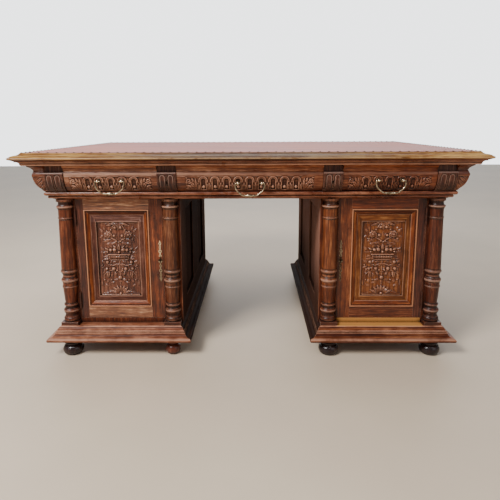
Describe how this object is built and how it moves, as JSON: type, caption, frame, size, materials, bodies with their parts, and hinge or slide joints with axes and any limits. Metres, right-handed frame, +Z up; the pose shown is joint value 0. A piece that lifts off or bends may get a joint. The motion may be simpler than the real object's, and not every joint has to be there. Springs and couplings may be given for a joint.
{
  "type": "partners desk",
  "caption": "Partners desk with two cupboard pedestals, a carved drawer frieze and a leather writing top, worked from both long sides.",
  "frame": {"origin": "on the floor, under the middle of the desk", "axes": "+X along the desk to the right as seen from the front, +Y from the front to the back, +Z up"},
  "size_m": [1.644, 1.08, 0.7722],
  "materials": {
    "edge_oak": "oak stained golden brown, waxed, worn pale along the nose",
    "stained_oak": "red-brown stained oak, waxed, with open grain",
    "carved_oak": "red-brown stained oak, carved, rubbed lighter on its high places",
    "dark_oak": "oak stained dark brown",
    "turned_oak": "turned oak, red-brown, polished by use",
    "lining_oak": "plain unpolished oak inside the carcase and drawers",
    "foot_wood": "ebonised turned wood; one foot is red-brown",
    "leather": "faded burgundy hide with a soft sheen",
    "nail_brass": "domed upholstery nails, tarnished brass",
    "handle_brass": "antique brass, bright where hands touch it",
    "escutcheon_brass": "pierced cast brass, antique finish",
    "hinge_brass": "dull brass",
    "lock_steel": "old steel lock cases"
  },
  "bodies": {
    "root": {"top_slab": "edge_oak", "leather_top": "leather", "leather_nails": "nail_brass", "upper_cornice": "stained_oak", "frieze_end_boards": "carved_oak", "frieze_brackets": "dark_oak", "bracket_locks": "lock_steel", "frieze_frame": "lining_oak", "waist_moulding": "stained_oak", "frieze_floor": "lining_oak", "drawer_runners": "lining_oak", "left_pedestal_frame": "stained_oak", "right_pedestal_frame": "stained_oak", "pedestal_boards": "stained_oak", "columns": "turned_oak", "column_blocks": "turned_oak", "plinths": "stained_oak", "bun_feet": "foot_wood", "hinge_leaves": "hinge_brass", "hinge_pins": "hinge_brass"},
    "front_left_drawer": {"front_left_drawer_front": "carved_oak", "front_left_drawer_box": "lining_oak", "front_left_handle_posts": "handle_brass"},
    "front_left_handle": {"front_left_bail": "handle_brass"},
    "front_centre_drawer": {"front_centre_drawer_front": "carved_oak", "front_centre_drawer_box": "lining_oak", "front_centre_handle_posts": "handle_brass"},
    "front_centre_handle": {"front_centre_bail": "handle_brass"},
    "front_right_drawer": {"front_right_drawer_front": "carved_oak", "front_right_drawer_box": "lining_oak", "front_right_handle_posts": "handle_brass"},
    "front_right_handle": {"front_right_bail": "handle_brass"},
    "front_left_door": {"front_left_door_frame": "stained_oak", "front_left_door_panel": "carved_oak", "front_left_door_escutcheon": "escutcheon_brass", "front_left_door_ironwork": "hinge_brass"},
    "front_right_door": {"front_right_door_frame": "stained_oak", "front_right_door_panel": "carved_oak", "front_right_door_escutcheon": "escutcheon_brass", "front_right_door_ironwork": "hinge_brass"},
    "back_left_drawer": {"back_left_drawer_front": "carved_oak", "back_left_drawer_box": "lining_oak", "back_left_handle_posts": "handle_brass"},
    "back_left_handle": {"back_left_bail": "handle_brass"},
    "back_centre_drawer": {"back_centre_drawer_front": "carved_oak", "back_centre_drawer_box": "lining_oak", "back_centre_handle_posts": "handle_brass"},
    "back_centre_handle": {"back_centre_bail": "handle_brass"},
    "back_right_drawer": {"back_right_drawer_front": "carved_oak", "back_right_drawer_box": "lining_oak", "back_right_handle_posts": "handle_brass"},
    "back_right_handle": {"back_right_bail": "handle_brass"},
    "back_left_door": {"back_left_door_frame": "stained_oak", "back_left_door_panel": "carved_oak", "back_left_door_escutcheon": "escutcheon_brass", "back_left_door_ironwork": "hinge_brass"},
    "back_right_door": {"back_right_door_frame": "stained_oak", "back_right_door_panel": "carved_oak", "back_right_door_escutcheon": "escutcheon_brass", "back_right_door_ironwork": "hinge_brass"}
  },
  "joints": [
    {"name": "front_left_drawer_slide", "type": "slide", "parent": "root", "child": "front_left_drawer", "axis": [0, -1, 0], "range_m": [0, 0.3]},
    {"name": "front_left_handle_swing", "type": "hinge", "parent": "front_left_drawer", "child": "front_left_handle", "pos_m": [-0.49125, -0.4945, 0.669], "axis": [-1, 0, 0], "range_deg": [-25, 100]},
    {"name": "front_centre_drawer_slide", "type": "slide", "parent": "root", "child": "front_centre_drawer", "axis": [0, -1, 0], "range_m": [0, 0.3]},
    {"name": "front_centre_handle_swing", "type": "hinge", "parent": "front_centre_drawer", "child": "front_centre_handle", "pos_m": [0, -0.4945, 0.661], "axis": [-1, 0, 0], "range_deg": [-25, 100]},
    {"name": "front_right_drawer_slide", "type": "slide", "parent": "root", "child": "front_right_drawer", "axis": [0, -1, 0], "range_m": [0, 0.3]},
    {"name": "front_right_handle_swing", "type": "hinge", "parent": "front_right_drawer", "child": "front_right_handle", "pos_m": [0.49125, -0.4945, 0.669], "axis": [-1, 0, 0], "range_deg": [-25, 100]},
    {"name": "front_left_door_hinge", "type": "hinge", "parent": "root", "child": "front_left_door", "pos_m": [-0.652, -0.4108, 0.362], "axis": [0, 0, -1], "range_deg": [0, 95]},
    {"name": "front_right_door_hinge", "type": "hinge", "parent": "root", "child": "front_right_door", "pos_m": [0.652, -0.4108, 0.362], "axis": [0, 0, 1], "range_deg": [0, 95]},
    {"name": "back_left_drawer_slide", "type": "slide", "parent": "root", "child": "back_left_drawer", "axis": [0, 1, 0], "range_m": [0, 0.3]},
    {"name": "back_left_handle_swing", "type": "hinge", "parent": "back_left_drawer", "child": "back_left_handle", "pos_m": [-0.49125, 0.4945, 0.669], "axis": [1, 0, 0], "range_deg": [-25, 100]},
    {"name": "back_centre_drawer_slide", "type": "slide", "parent": "root", "child": "back_centre_drawer", "axis": [0, 1, 0], "range_m": [0, 0.3]},
    {"name": "back_centre_handle_swing", "type": "hinge", "parent": "back_centre_drawer", "child": "back_centre_handle", "pos_m": [0, 0.4945, 0.661], "axis": [1, 0, 0], "range_deg": [-25, 100]},
    {"name": "back_right_drawer_slide", "type": "slide", "parent": "root", "child": "back_right_drawer", "axis": [0, 1, 0], "range_m": [0, 0.3]},
    {"name": "back_right_handle_swing", "type": "hinge", "parent": "back_right_drawer", "child": "back_right_handle", "pos_m": [0.49125, 0.4945, 0.669], "axis": [1, 0, 0], "range_deg": [-25, 100]},
    {"name": "back_left_door_hinge", "type": "hinge", "parent": "root", "child": "back_left_door", "pos_m": [-0.652, 0.4108, 0.362], "axis": [0, 0, 1], "range_deg": [0, 95]},
    {"name": "back_right_door_hinge", "type": "hinge", "parent": "root", "child": "back_right_door", "pos_m": [0.652, 0.4108, 0.362], "axis": [0, 0, -1], "range_deg": [0, 95]}
  ]
}
